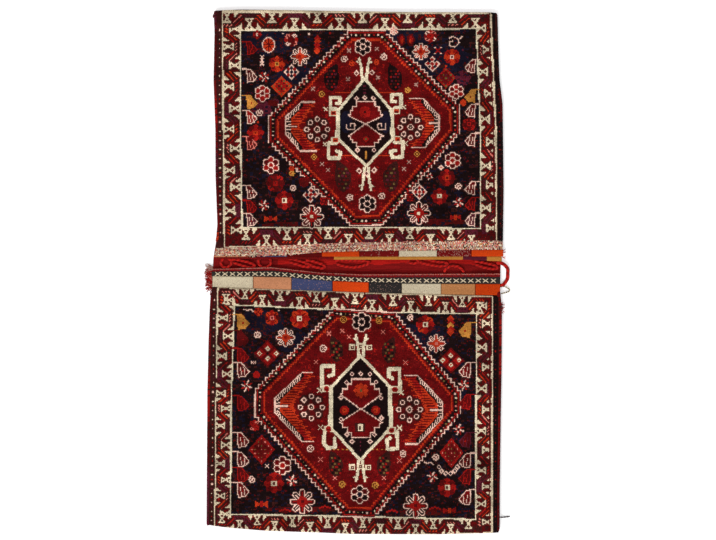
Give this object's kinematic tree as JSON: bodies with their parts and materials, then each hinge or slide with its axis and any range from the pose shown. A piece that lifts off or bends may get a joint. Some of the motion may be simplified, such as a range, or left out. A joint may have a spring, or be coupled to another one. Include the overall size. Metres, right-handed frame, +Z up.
{
  "type": "kilim double saddle bag",
  "caption": "Woven double saddle bag lying flat: pile-faced pouches joined by a flat-woven back and bridge, with closure strips and braided loops.",
  "frame": {"origin": "point on the back's flat underside near the middle of the bag, between the two mouths", "axes": "+X to the bag's right, +Y along the bag towards the upper pouch's far end, +Z up through the pile fronts"},
  "size_m": [0.64, 1.0981, 0.017],
  "materials": {
    "kilim_weave": "flat-woven madder red wool",
    "ground_weave": "knotted ground weave, wool",
    "pile_ivory": "cut wool pile, ivory",
    "pile_indigo": "cut wool pile, indigo black",
    "pile_madder": "cut wool pile, madder red",
    "pile_pink": "cut wool pile, pale pink",
    "pile_brown": "cut wool pile, dark brown",
    "overcast_binding": "overcast wool, red",
    "mottled_weave": "flat-woven wool, mottled pink and ivory",
    "weave_salmon": "slit tapestry weave, salmon",
    "weave_blue": "slit tapestry weave, blue",
    "weave_orange": "slit tapestry weave, orange",
    "weave_dark_red": "slit tapestry weave, dark red",
    "weave_ivory": "slit tapestry weave, ivory",
    "weave_charcoal": "slit tapestry weave, charcoal",
    "weave_tan": "slit tapestry weave, tan",
    "gold_hem": "woven wool hem, gold",
    "stitched_weave": "dark weave with crossed white stitches",
    "pink_hem": "twisted wool hem, pink and white",
    "braid_red": "braided wool cord, red",
    "braid_ivory": "wrapped wool cord, ivory and black",
    "twisted_cord": "twisted dark wool cord",
    "loose_wool": "loose unspun wool",
    "loose_red_wool": "loose red wool"
  },
  "bodies": {
    "root": {"kilim_back": "kilim_weave", "pouch_front_upper": "ground_weave", "guard_left_upper": "pile_brown", "guard_right_upper": "pile_brown", "border_upper": "pile_ivory", "indigo_field_upper": "pile_indigo", "medallion_edge_upper": "pile_pink", "medallion_upper": "pile_madder", "hooked_frame_upper": "pile_ivory", "centre_upper": "pile_indigo", "binding_left_upper": "overcast_binding", "binding_right_upper": "overcast_binding", "pouch_front_lower": "ground_weave", "guard_left_lower": "pile_brown", "guard_right_lower": "pile_brown", "border_lower": "pile_ivory", "indigo_field_lower": "pile_indigo", "medallion_edge_lower": "pile_pink", "medallion_lower": "pile_madder", "hooked_frame_lower": "pile_ivory", "centre_lower": "pile_indigo", "binding_left_lower": "overcast_binding", "binding_right_lower": "overcast_binding", "mottled_band": "mottled_weave", "block_1_salmon_upper": "weave_salmon", "block_2_blue_upper": "weave_blue", "block_3_orange_upper": "weave_orange", "block_4_dark_red_upper": "weave_dark_red", "block_5_ivory_upper": "weave_ivory", "block_6_dark_red_upper": "weave_dark_red", "block_7_orange_upper": "weave_orange", "block_1_ivory_lower": "weave_ivory", "block_2_salmon_lower": "weave_salmon", "block_3_blue_lower": "weave_blue", "block_4_orange_lower": "weave_orange", "block_5_charcoal_lower": "weave_charcoal", "block_6_ivory_lower": "weave_ivory", "block_7_tan_lower": "weave_tan", "block_8_orange_lower": "weave_orange", "gold_hem": "gold_hem", "stitched_band": "stitched_weave", "lower_hem": "pink_hem", "loop_1": "braid_red", "loop_2": "braid_red", "loop_3": "braid_red", "loop_4": "braid_red", "loop_5": "braid_red", "loop_6": "braid_red", "loop_7": "braid_red", "loop_8": "braid_red", "loop_9": "braid_red", "loop_10": "braid_red", "side_loop": "braid_red", "side_loop_end": "braid_ivory", "cord_stub": "twisted_cord", "wool_tuft_left": "loose_wool", "wool_tuft_right": "loose_red_wool"}
  },
  "joints": []
}
